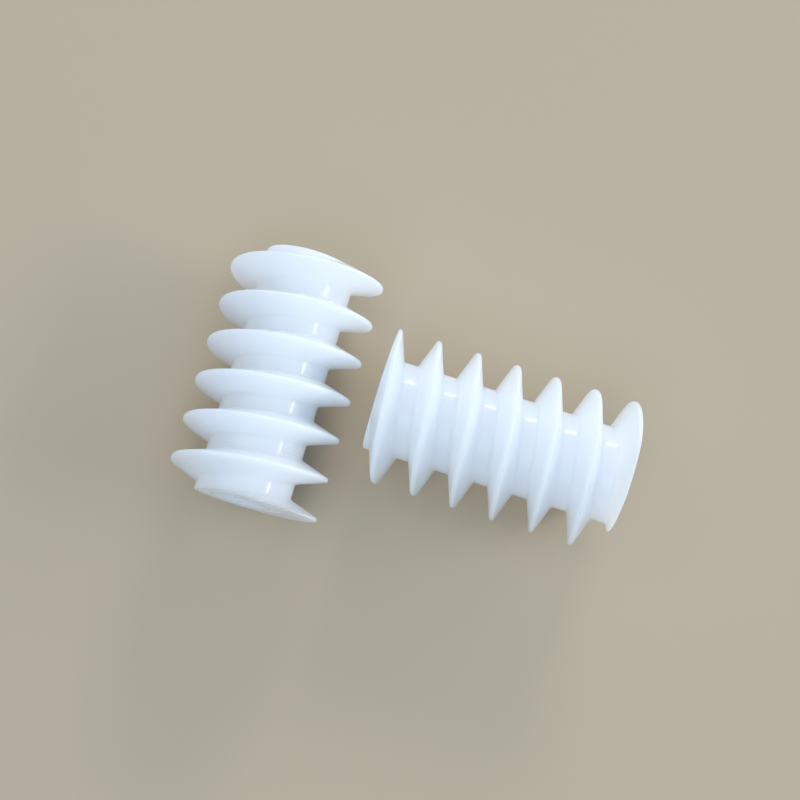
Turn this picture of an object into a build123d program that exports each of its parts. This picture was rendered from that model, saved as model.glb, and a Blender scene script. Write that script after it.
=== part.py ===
"""Worm gear set: two loose, identical moulded plastic worms lying side by side.

Each worm is one moulding: a plain root cylinder with a single-start, right-hand
thread of module 0.5 round it, cut square at both ends, and a through bore that
presses on a 2 mm motor shaft.

Row frame, in millimetres: +Z up, the worms rest on z = 0 on their thread crests,
+X runs along the right worm's bore, and the origin is the bottom centre of the
set's bounding box.
"""

import math
import os

from build123d import *

# ---- driving dimensions (mm) -------------------------------------------------
MODULE = 0.5
LEAD = math.pi * MODULE  # single start, so the lead is the axial pitch
OUTER_R = 3.0  # over the thread crests
ROOT_R = 1.825  # the plain cylinder between the turns
LENGTH = 9.82  # between the two square-cut ends
BORE_R = 0.975  # a tight hole for a 2 mm shaft
BORE_CHAMFER = 0.15
FLANK_ANGLE = 19.4  # degrees, between a flank and the plane square to the axis
CREST_HALF = 0.072  # half the crest's width before its corners are rounded
CREST_ROUND = 0.08
ROOT_FILLET = 0.08
ROOT_SINK = 0.004  # how far under the root cylinder the fillets run out
FOOT_SINK = 0.20  # how far the thread's foot reaches into the root cylinder

# ---- where each worm lies: axis mid-point (x, y), heading, roll ---------------
# Heading is the bore axis's direction, in degrees from +X towards +Y. Roll turns
# the worm about its own axis, and sets where its thread passes the table.
RIGHT_WORM = {"x": 3.553, "y": 0.300, "heading": 0.0, "roll": 46.26}
LEFT_WORM = {"x": -5.328, "y": -0.011, "heading": 92.02, "roll": -155.37}


def thread_profile():
    """The thread's axial section as a face in the XZ plane, its crest at z = 0."""
    slope = math.tan(math.radians(FLANK_ANGLE))
    turn = math.radians(90.0 - FLANK_ANGLE)
    sunk_root = ROOT_R - ROOT_SINK
    # crest corner: an arc tangent to the crest and the flank
    cut = CREST_ROUND * math.tan(turn / 2)
    crest_flat = CREST_HALF - cut
    crest_end_z = crest_flat + CREST_ROUND * math.sin(turn)
    crest_end_r = OUTER_R - CREST_ROUND + CREST_ROUND * math.cos(turn)
    crest_mid_z = crest_flat + CREST_ROUND * math.sin(turn / 2)
    crest_mid_r = OUTER_R - CREST_ROUND + CREST_ROUND * math.cos(turn / 2)
    # root corner: an arc tangent to the flank that runs out just under the root
    foot = CREST_HALF + (OUTER_R - sunk_root) * slope
    reach = ROOT_FILLET * math.tan(turn / 2)
    centre_z, centre_r = foot + reach, sunk_root + ROOT_FILLET
    root_start_z = centre_z - ROOT_FILLET * math.sin(turn)
    root_start_r = centre_r - ROOT_FILLET * math.cos(turn)
    root_mid_z = centre_z - ROOT_FILLET * math.sin(turn / 2)
    root_mid_r = centre_r - ROOT_FILLET * math.cos(turn / 2)
    low = ROOT_R - FOOT_SINK

    def side(s):
        return (
            (crest_flat * s, OUTER_R),
            (crest_mid_z * s, crest_mid_r),
            (crest_end_z * s, crest_end_r),
            (root_start_z * s, root_start_r),
            (root_mid_z * s, root_mid_r),
            (centre_z * s, sunk_root),
            (centre_z * s, low),
        )

    def at(zr):
        return Vector(zr[1], 0, zr[0])

    a, b = [at(p) for p in side(1)], [at(p) for p in side(-1)]
    edges = [
        Line(b[0], a[0]),
        ThreePointArc(a[0], a[1], a[2]),
        Line(a[2], a[3]),
        ThreePointArc(a[3], a[4], a[5]),
        Line(a[5], a[6]),
        Line(a[6], b[6]),
        Line(b[6], b[5]),
        ThreePointArc(b[5], b[4], b[3]),
        Line(b[3], b[2]),
        ThreePointArc(b[2], b[1], b[0]),
    ]
    return Face(Wire(edges))


def make_worm():
    """One worm along Z, centred on the origin, its crest crossing +X at z = 0."""
    turns = math.ceil(LENGTH / LEAD / 2) + 1
    start = -turns * LEAD
    path = Pos(0, 0, start) * Helix(
        pitch=LEAD, height=2 * turns * LEAD, radius=OUTER_R - 0.6
    )
    thread = sweep(Pos(0, 0, start) * thread_profile(), path=path, is_frenet=True)
    core = Cylinder(radius=ROOT_R, height=2 * turns * LEAD + 2)
    blank = (core + thread) & Box(4 * OUTER_R, 4 * OUTER_R, LENGTH)
    bore = Cylinder(radius=BORE_R, height=LENGTH + 2)
    worm = blank - bore
    for end in (1, -1):
        mouth = Cone(
            bottom_radius=BORE_R,
            top_radius=BORE_R + 2 * BORE_CHAMFER,
            height=2 * BORE_CHAMFER,
        )
        if end < 0:
            mouth = Rot(180, 0, 0) * mouth
        worm = worm - Pos(0, 0, end * LENGTH / 2) * mouth
    return worm


def placed(worm, where):
    """Lays a worm made along Z on the table: its axis level, one crest radius up."""
    h = math.radians(where["heading"])
    lie = Plane(
        origin=(where["x"], where["y"], OUTER_R),
        x_dir=(-math.sin(h), math.cos(h), 0),
        z_dir=(math.cos(h), math.sin(h), 0),
    )
    return lie.location * Rot(0, 0, where["roll"]) * worm


worm = make_worm()
parts = {
    "left_worm": placed(worm, LEFT_WORM),
    "right_worm": placed(worm, RIGHT_WORM),
}

os.makedirs("parts", exist_ok=True)
for node, shape in parts.items():
    solids = shape.solids()
    print(node, "solids", len(solids), "volume mm3", round(sum(s.volume for s in solids), 2))
    export_step(shape, os.path.join("parts", node + ".step"))
box = Compound(children=list(parts.values())).bounding_box()
print("box", box.min, box.max)
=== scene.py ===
"""Two loose moulded plastic worms on a plain pale floor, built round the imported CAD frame."""

import math

import bmesh
import bpy
import numpy as np
from mathutils import Matrix, Vector
from mathutils import noise as mn


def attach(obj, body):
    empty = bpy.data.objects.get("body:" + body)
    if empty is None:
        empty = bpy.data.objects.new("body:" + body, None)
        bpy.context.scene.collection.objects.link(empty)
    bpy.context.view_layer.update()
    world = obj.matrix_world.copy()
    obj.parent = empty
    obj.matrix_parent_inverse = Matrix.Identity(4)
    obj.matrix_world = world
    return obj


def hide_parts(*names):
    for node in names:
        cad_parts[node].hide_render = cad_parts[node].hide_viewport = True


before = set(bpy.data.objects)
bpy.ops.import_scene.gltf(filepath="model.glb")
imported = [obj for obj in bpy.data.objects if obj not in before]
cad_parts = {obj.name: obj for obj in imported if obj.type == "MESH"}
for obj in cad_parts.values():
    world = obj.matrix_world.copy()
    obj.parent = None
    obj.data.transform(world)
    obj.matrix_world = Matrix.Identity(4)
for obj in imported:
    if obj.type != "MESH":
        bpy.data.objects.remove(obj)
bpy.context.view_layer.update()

MM = 0.001

# ---- the worm, in millimetres (the CAD part's own sizes) ----------------------
LEAD = math.pi * 0.5
OUTER_R = 3.0
ROOT_R = 1.825
LENGTH = 9.82
BORE_R = 0.975
BORE_CHAMFER = 0.15
FLANK = math.radians(19.4)
CREST_HALF = 0.072
CREST_ROUND = 0.08
ROOT_FILLET = 0.12
END_ROUND = 0.045  # the moulded ends' edges aren't knife sharp
STEPS = 280  # columns in one turn

# axis mid-point, heading and the thread's phase along the axis at the side
PLACES = {
    "left_worm": {"at": (-5.328, -0.011), "heading": 92.02, "roll": -155.37, "seed": 3.1},
    "right_worm": {"at": (3.553, 0.300), "heading": 0.0, "roll": 46.26, "seed": 17.7},
}


def thread_profile():
    """Half a pitch of the thread's axial section, from the crest's middle to the root's, as (axial, radius)."""
    turn = math.pi / 2 - FLANK
    tan = math.tan(FLANK)
    flat = CREST_HALF - CREST_ROUND * math.tan(turn / 2)
    pts = [(0.0, OUTER_R)]
    if flat > 1e-4:
        pts.append((flat, OUTER_R))
    for i in range(1, 6):
        a = turn * i / 5
        pts.append((flat + CREST_ROUND * math.sin(a), OUTER_R - CREST_ROUND * (1 - math.cos(a))))
    foot = CREST_HALF + (OUTER_R - ROOT_R) * tan
    far = foot + ROOT_FILLET * math.tan(turn / 2)
    start = (far - ROOT_FILLET * math.sin(turn), ROOT_R + ROOT_FILLET * (1 - math.cos(turn)))
    z0, r0 = pts[-1]
    for i in range(1, 6):
        f = i / 6
        pts.append((z0 + (start[0] - z0) * f, r0 + (start[1] - r0) * f))
    for i in range(0, 5):
        a = turn * (1 - i / 4)
        pts.append((far - ROOT_FILLET * math.sin(a), ROOT_R + ROOT_FILLET * (1 - math.cos(a))))
    for f in (0.34, 0.7):
        pts.append((far + (LEAD / 2 - far) * f, ROOT_R))
    return pts


def section():
    """One whole pitch, from just after the root's middle round to it."""
    half = thread_profile()
    right = half[1:] + [(LEAD / 2, ROOT_R)]
    left = [(-z, r) for z, r in reversed(half[1:])]
    return left + [half[0]] + right


def smooth(x):
    x = max(0.0, min(1.0, x))
    return x * x * (3 - 2 * x)


def recess(theta, radius, seed, trimmed):
    """How deep an end face lies behind the end plane at a point, in mm."""
    p = Vector((math.cos(theta) * radius, math.sin(theta) * radius, seed))
    grain = 0.5 + 0.5 * mn.noise(p * 5.0)
    if not trimmed:
        return 0.005 * grain
    # trimmed end: the hub's edge stands proud, with the thread's cut face behind it
    edge = 1.57 + 0.06 * mn.noise(p * 1.3) + 0.02 * mn.noise(p * 4.5)
    outside = smooth((radius - edge + 0.04) / 0.20)
    lump = 0.5 + 0.5 * mn.noise(p * 2.0 + Vector((9, 4, 1)))
    inside = smooth((edge - 0.02 - radius) / 0.10)
    crumb = max(0.0, 0.5 + mn.noise(p * 4.0 + Vector((2, 7, 5)))) if radius < 1.83 else 0.0
    return 0.016 * outside + inside * (0.008 * lump + 0.016 * crumb) + 0.006 * grain


# nicks in the trimmed end's rim: angle and half width in degrees, depth in mm
NICKS = ((-12.0, 3.5, 0.09), (-23.0, 4.0, 0.07), (-34.0, 4.5, 0.09), (-47.0, 4.0, 0.07), (8.0, 3.0, 0.06),
         (30.0, 4.5, 0.07), (42.0, 3.5, 0.05))
NICK_LENGTH = 0.17


def nick(theta):
    """How far the trimmed end's rim is nicked at an angle, in mm."""
    deg = math.degrees(theta) % 360.0
    return sum(d * smooth(1 - abs((deg - a + 180) % 360 - 180) / w) for a, w, d in NICKS)


def worm_mesh(name, phase, seed, trimmed_end, wave):
    """The whole moulding as one closed mesh, axis along X, in mm."""
    prof = section()
    K, N = len(prof), STEPS
    half = LENGTH / 2
    first = math.floor((-half - phase - LEAD) / LEAD * N)
    last = math.ceil((half - phase + LEAD) / LEAD * N)
    cols = last - first + 1
    verts, faces = [], []
    for t in range(first, last + 1):
        a = 2 * math.pi * (t % N) / N
        c, s = math.cos(a), math.sin(a)
        mid = phase + LEAD * t / N
        for z, r in prof:
            verts.append((mid + z, r * c, r * s))
    for i in range(cols - 1):
        for k in range(K - 1):
            faces.append((i * K + k, i * K + k + 1, (i + 1) * K + k + 1, (i + 1) * K + k))
        if i + N + 1 < cols:
            faces.append((i * K + K - 1, (i + N) * K, (i + N + 1) * K, (i + 1) * K + K - 1))
    bm = bmesh.new()
    bv = [bm.verts.new(v) for v in verts]
    for f in faces:
        bm.faces.new([bv[j] for j in f])
    # trim to length, with extra rows of points where the end edges are rounded
    for sign in (-1, 1):
        for d in (3.8, 3.0, 2.2, 1.6, 1.15, 1.0, 0.72, 0.45, 0.24, 0.1, 0.03):
            geom = [*bm.verts, *bm.edges, *bm.faces]
            bmesh.ops.bisect_plane(bm, geom=geom, dist=1e-5, plane_co=(sign * (half - d * END_ROUND), 0, 0), plane_no=(sign, 0, 0))
        geom = [*bm.verts, *bm.edges, *bm.faces]
        bmesh.ops.bisect_plane(bm, geom=geom, dist=1e-5, plane_co=(sign * half, 0, 0), plane_no=(sign, 0, 0), clear_outer=True)
    loose = [v for v in bm.verts if not v.link_faces]
    bmesh.ops.delete(bm, geom=loose, context="VERTS")
    bm.verts.ensure_lookup_table()
    tip = bm.verts.layers.float.new("thread_tip")
    bore = bm.verts.layers.float.new("bore_wall")
    torn = bm.verts.layers.float.new("torn_hub")
    ends = {-1: [], 1: []}
    for v in bm.verts:
        x, y, z = v.co
        r = math.hypot(y, z)
        v[tip] = (r - ROOT_R) / (OUTER_R - ROOT_R)
        d = half - abs(x)
        if d < 2e-5:
            ends[1 if x > 0 else -1].append(v)
        drop = 0.0
        if d < END_ROUND:
            q = 1 - max(d, 0) / END_ROUND
            drop = END_ROUND * (1 - math.sqrt(max(0.0, 1 - q * q)))
        if x * trimmed_end > 0 and d < NICK_LENGTH:
            drop += nick(math.atan2(z, y)) * smooth(1 - max(d, 0) / NICK_LENGTH)
        # the moulding's slight shrinkage waves, always inward
        p = Vector((x, y, z)) * 0.55 + Vector((seed, 0, 0))
        drop += wave * (0.5 + 0.5 * mn.noise(p))
        s = (r - drop) / r
        v.co = (x, y * s, z * s)

    angles = [2 * math.pi * j / N for j in range(N)]

    def ring(sign, radius_at, depth_at, wall=0.0):
        out = []
        for a in angles:
            r = radius_at(a)
            v = bm.verts.new((sign * (half - depth_at(a, r)), r * math.cos(a), r * math.sin(a)))
            v[bore] = wall
            out.append(v)
        return out

    mouth = {}
    for sign in (-1, 1):
        rim = sorted(ends[sign], key=lambda v: math.atan2(v.co.z, v.co.y) % (2 * math.pi))
        at = [math.atan2(v.co.z, v.co.y) % (2 * math.pi) for v in rim]
        rr = [math.hypot(v.co.y, v.co.z) for v in rim]
        edge = np.interp(angles, np.array([at[-1] - 2 * math.pi, *at, at[0] + 2 * math.pi]), np.array([rr[-1], *rr, rr[0]]))

        def rough(a, r, sign=sign):
            return recess(a, r, seed + sign, sign == trimmed_end)

        rings = []
        hub = 1.64
        for f in (0.985, 0.9, 0.72, 0.5, 0.25, 0.0):
            rs = [hub + (edge[j] - hub) * f for j in range(N)]
            fade = smooth((1 - f) / 0.25)
            out = []
            for j, a in enumerate(angles):
                v = bm.verts.new((sign * (half - rough(a, rs[j]) * fade), rs[j] * math.cos(a), rs[j] * math.sin(a)))
                out.append(v)
            rings.append(out)
        for r in (1.62, 1.60, 1.58, 1.56, 1.53, 1.49, 1.45, 1.41, 1.37, 1.33, 1.29, 1.25, 1.21):
            rings.append(ring(sign, lambda a, r=r: r, rough))
            if sign == trimmed_end:
                for v in rings[-1]:
                    v[torn] = smooth((1.66 - r) / 0.14)
        lip = BORE_R + BORE_CHAMFER
        wander = 0.035 if sign == trimmed_end else 0.003

        def mouth_at(a, f):
            return lip - BORE_CHAMFER * f + wander * (1 - f) * mn.noise(Vector((math.cos(a) * 3, math.sin(a) * 3, seed)))

        for f, out, d in ((0.0, 0.03, 0.002), (0.0, 0.01, 0.006)):
            rings.append(ring(sign, lambda a, out=out: mouth_at(a, 0.0) + out, lambda a, r, d=d: rough(a, r) * 0.8 + d))
        for f in (0.08, 0.25, 0.5, 0.75, 0.92):
            rings.append(ring(sign, lambda a, f=f: mouth_at(a, f), lambda a, r, f=f: rough(a, r) * (1 - f) + 0.008 + (BORE_CHAMFER - 0.008) * f, f))
        rings.append(ring(sign, lambda a: BORE_R + 0.004, lambda a, r: BORE_CHAMFER + 0.004, 1.0))
        rings.append(ring(sign, lambda a: BORE_R, lambda a, r: BORE_CHAMFER + 0.02, 1.0))
        # the rim has a few points more than the rings: each ring sector takes those that fall in it
        head = []
        for a in angles:
            off = [abs((q - a + math.pi) % (2 * math.pi) - math.pi) for q in at]
            j = int(np.argmin(off))
            if off[j] > 1e-4:
                raise RuntimeError(f"{name}: the end rim has a gap at angle {a}")
            head.append(j)
        for j in range(N):
            n = (j + 1) % N
            i, stop, outer = head[j], head[n], [rim[head[j]]]
            while i != stop:
                i = (i + 1) % len(rim)
                outer.append(rim[i])
            bm.faces.new([*outer, rings[0][n], rings[0][j]])
        for a, b in zip(rings, rings[1:]):
            for j in range(N):
                n = (j + 1) % N
                bm.faces.new((a[j], a[n], b[n], b[j]))
        mouth[sign] = rings[-1]
    # the bore's wall
    deep = half - BORE_CHAMFER - 0.02
    rows = [mouth[-1]]
    for i in range(1, 24):
        x = -deep + 2 * deep * i / 24
        rows.append([])
        for a in angles:
            v = bm.verts.new((x, BORE_R * math.cos(a), BORE_R * math.sin(a)))
            v[bore] = 1.0
            rows[-1].append(v)
    rows.append(mouth[1])
    for a, b in zip(rows, rows[1:]):
        for j in range(N):
            n = (j + 1) % N
            bm.faces.new((a[j], a[n], b[n], b[j]))
    bmesh.ops.remove_doubles(bm, verts=bm.verts, dist=2e-5)
    bmesh.ops.recalc_face_normals(bm, faces=bm.faces)
    mesh = bpy.data.meshes.new(name)
    open_edges = sum(1 for e in bm.edges if len(e.link_faces) != 2)
    print(name, "verts", len(bm.verts), "faces", len(bm.faces), "open edges", open_edges)
    bm.to_mesh(mesh)
    bm.free()
    return mesh


def lay_down(mesh, place):
    """Puts a worm made along X where the CAD part lies, in metres."""
    h = math.radians(place["heading"])
    x, y = place["at"]
    m = Matrix((
        (math.cos(h), -math.sin(h), 0, x),
        (math.sin(h), math.cos(h), 0, y),
        (0, 0, 1, OUTER_R),
        (0, 0, 0, 1),
    ))
    mesh.transform(Matrix.Scale(MM, 4) @ m)


# ---- material ----------------------------------------------------------------
def white_acetal():
    mat = bpy.data.materials.new("white_plastic")
    mat.use_nodes = True
    nt = mat.node_tree
    nt.nodes.clear()
    new = nt.nodes.new
    out = new("ShaderNodeOutputMaterial")
    bsdf = new("ShaderNodeBsdfPrincipled")
    nt.links.new(bsdf.outputs["BSDF"], out.inputs["Surface"])
    co = new("ShaderNodeTexCoord")

    def noise(scale, detail=2.0, rough=0.5):
        n = new("ShaderNodeTexNoise")
        n.inputs["Scale"].default_value = scale
        n.inputs["Detail"].default_value = detail
        n.inputs["Roughness"].default_value = rough
        nt.links.new(co.outputs["Object"], n.inputs["Vector"])
        return n.outputs["Fac"]

    def ramp(value, low, high, c0, c1):
        r = new("ShaderNodeValToRGB")
        r.color_ramp.elements[0].position = low
        r.color_ramp.elements[1].position = high
        r.color_ramp.elements[0].color = (*c0, 1)
        r.color_ramp.elements[1].color = (*c1, 1)
        nt.links.new(value, r.inputs["Fac"])
        return r.outputs["Color"]

    def mix(fac, a, b, blend="MIX"):
        m = new("ShaderNodeMix")
        m.data_type = "RGBA"
        m.blend_type = blend
        for sock, v in ((m.inputs["Factor"], fac), (m.inputs["A"], a), (m.inputs["B"], b)):
            if isinstance(v, (int, float)):
                sock.default_value = v
            elif isinstance(v, tuple):
                sock.default_value = (*v, 1)
            else:
                nt.links.new(v, sock)
        return m.outputs["Result"]

    # body colour: natural white, with slow cloudiness from the melt
    cloud = ramp(noise(420.0, 3.0, 0.55), 0.35, 0.68, (0.962, 0.968, 0.972), (0.982, 0.985, 0.988))
    # rare grey specks, a few hundredths of a millimetre across
    vor = new("ShaderNodeTexVoronoi")
    vor.inputs["Scale"].default_value = 620.0
    nt.links.new(co.outputs["Object"], vor.inputs["Vector"])
    speck = ramp(vor.outputs["Distance"], 0.016, 0.042, (0.80, 0.78, 0.76), (1, 1, 1))
    body = mix(1.0, cloud, speck, "MULTIPLY")
    # the trimmed hub is torn, so matt and a little warmer
    torn = new("ShaderNodeAttribute")
    torn.attribute_name = "torn_hub"
    crumbs = ramp(noise(5200.0, 4.0, 0.6), 0.36, 0.60, (0.93, 0.90, 0.885), (0.99, 0.98, 0.975))
    body = mix(torn.outputs["Fac"], body, crumbs)
    nt.links.new(body, bsdf.inputs["Base Color"])
    # gloss: satin, a little uneven
    rough = new("ShaderNodeMapRange")
    rough.inputs["From Min"].default_value = 0.3
    rough.inputs["From Max"].default_value = 0.7
    rough.inputs["To Min"].default_value = 0.14
    rough.inputs["To Max"].default_value = 0.21
    nt.links.new(noise(900.0, 3.0), rough.inputs["Value"])
    matt = new("ShaderNodeMath")
    matt.operation = "MULTIPLY_ADD"
    matt.inputs[1].default_value = 0.35
    nt.links.new(torn.outputs["Fac"], matt.inputs[0])
    nt.links.new(rough.outputs["Result"], matt.inputs[2])
    nt.links.new(matt.outputs["Value"], bsdf.inputs["Roughness"])
    # skin: fine mould texture over slow sink marks
    fine = new("ShaderNodeBump")
    fine.inputs["Strength"].default_value = 0.10
    fine.inputs["Distance"].default_value = 0.000008
    nt.links.new(noise(9000.0, 3.0, 0.6), fine.inputs["Height"])
    slow = new("ShaderNodeBump")
    slow.inputs["Strength"].default_value = 0.12
    slow.inputs["Distance"].default_value = 0.00002
    nt.links.new(noise(1500.0, 2.0), slow.inputs["Height"])
    nt.links.new(slow.outputs["Normal"], fine.inputs["Normal"])
    nt.links.new(fine.outputs["Normal"], bsdf.inputs["Normal"])
    bsdf.inputs["IOR"].default_value = 1.48
    bsdf.inputs["Subsurface Weight"].default_value = 1.0
    bsdf.inputs["Subsurface Radius"].default_value = (1.0, 1.0, 1.0)
    bsdf.inputs["Subsurface Scale"].default_value = 0.0022
    bsdf.inputs["Specular IOR Level"].default_value = 0.30
    return mat


PLASTIC = white_acetal()

for node, place in PLACES.items():
    phase = -LEAD * place["roll"] / 360.0
    left = node == "left_worm"
    mesh = worm_mesh(node + "_moulding", phase, place["seed"], -1 if left else 0, 0.006)
    lay_down(mesh, place)
    for poly in mesh.polygons:
        poly.use_smooth = True
    mesh.materials.append(PLASTIC)
    obj = bpy.data.objects.new(node + "_moulding", mesh)
    bpy.context.scene.collection.objects.link(obj)
    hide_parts(node)
    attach(obj, node)

# ---- floor ---------------------------------------------------------------------
floor_mesh = bpy.data.meshes.new("floor")
floor_mesh.from_pydata([(-1.5, -1.5, 0), (1.5, -1.5, 0), (1.5, 1.5, 0), (-1.5, 1.5, 0)], [], [(0, 1, 2, 3)])
floor = bpy.data.objects.new("floor", floor_mesh)
bpy.context.scene.collection.objects.link(floor)
floor_mat = bpy.data.materials.new("floor_pale")
floor_mat.use_nodes = True
fb = floor_mat.node_tree.nodes["Principled BSDF"]
fb.inputs["Base Color"].default_value = (0.41, 0.29, 0.165, 1)
fb.inputs["Roughness"].default_value = 0.85
fb.inputs["Specular IOR Level"].default_value = 0.2
floor_mesh.materials.append(floor_mat)

# ---- camera ----------------------------------------------------------------------
# fitted in a frame whose X and Y are the image's right and up, then turned with the row frame
FIT = {"D": 54.4907, "tx": -0.01923295, "ty": -0.20300707, "s0": 25.80758, "turn": 0.30339995,
       "right_at": (3.7299954, -2.1994718)}


def camera_frame():
    n = Vector((FIT["tx"], FIT["ty"], 1.0)).normalized()
    right = Vector((0, 1, 0)).cross(n).normalized()
    up = n.cross(right)
    spin = Matrix.Rotation(FIT["turn"], 4, "Z")
    b = spin @ Vector((*FIT["right_at"], 0))
    shift = Vector((*PLACES["right_worm"]["at"], 0)) - b
    at = spin @ (n * FIT["D"]) + shift
    return at, spin @ right, spin @ up, spin @ n


at, right, up, back = camera_frame()
cam_data = bpy.data.cameras.new("camera")
cam_data.sensor_width = 36.0
cam_data.lens = FIT["s0"] * (FIT["D"] - 3.0) * 36.0 / 800.0
cam_data.clip_start = 0.002
cam_data.clip_end = 5.0
cam = bpy.data.objects.new("camera", cam_data)
bpy.context.scene.collection.objects.link(cam)
cam.matrix_world = Matrix((
    (right.x, up.x, back.x, at.x * MM),
    (right.y, up.y, back.y, at.y * MM),
    (right.z, up.z, back.z, at.z * MM),
    (0, 0, 0, 1),
))
bpy.context.scene.camera = cam

# ---- light -------------------------------------------------------------------------
def soft(name, azimuth, elevation, size, colour, power=1.0, tall=None, away=0.4):
    """A soft light looking at the worms: a round one, or a long one if tall is given.

    Size and power are for 0.4 m away. A nearer light is as large and as bright seen from the worms' middle,
    but falls off across them.
    """
    near = away / 0.4
    data = bpy.data.lights.new(name, "AREA")
    data.shape = "RECTANGLE" if tall else "DISK"
    data.size = size * near
    if tall:
        data.size_y = tall * near
    data.energy = power * near * near
    data.color = colour
    o = bpy.data.objects.new(name, data)
    bpy.context.scene.collection.objects.link(o)
    a, e = math.radians(azimuth), math.radians(elevation)
    d = Vector((math.cos(a) * math.cos(e), math.sin(a) * math.cos(e), math.sin(e)))
    o.location = d * away
    o.rotation_mode = "QUATERNION"
    o.rotation_quaternion = d.to_track_quat("Z", "Y")
    return o


soft("low_north_east", 45, 12, 0.3, (0.539, 0.655, 0.733))
soft("low_north", 90, 12, 0.3, (0.255, 0.401, 0.567))
soft("low_north_west", 135, 12, 0.3, (0.0, 0.022, 0.171))
soft("high_east", 0, 60, 0.3, (0.0, 0.133, 0.321))
soft("high_west", 180, 60, 0.3, (0.181, 0.250, 0.225))
soft("high_south", 270, 60, 0.3, (0.364, 0.528, 0.732))
soft("overhead", 0, 90, 0.3, (0.110, 0.040, 0.033))
soft("window_north", 88, 25, 0.11, (0.874, 0.921, 0.941), 0.40, 0.03)
soft("window_east", 13, 27, 0.17, (0.874, 0.921, 0.941), 0.50, 0.03)
world = bpy.data.worlds.new("world")
world.use_nodes = True
world.node_tree.nodes["Background"].inputs["Color"].default_value = (0.14, 0.171, 0.218, 1)
world.node_tree.nodes["Background"].inputs["Strength"].default_value = 1.0
bpy.context.scene.world = world
# a phone camera's tone curve is flatter in the light tones than the plain one
bpy.context.scene.view_settings.view_transform = "Standard"
bpy.context.scene.view_settings.gamma = 1.5
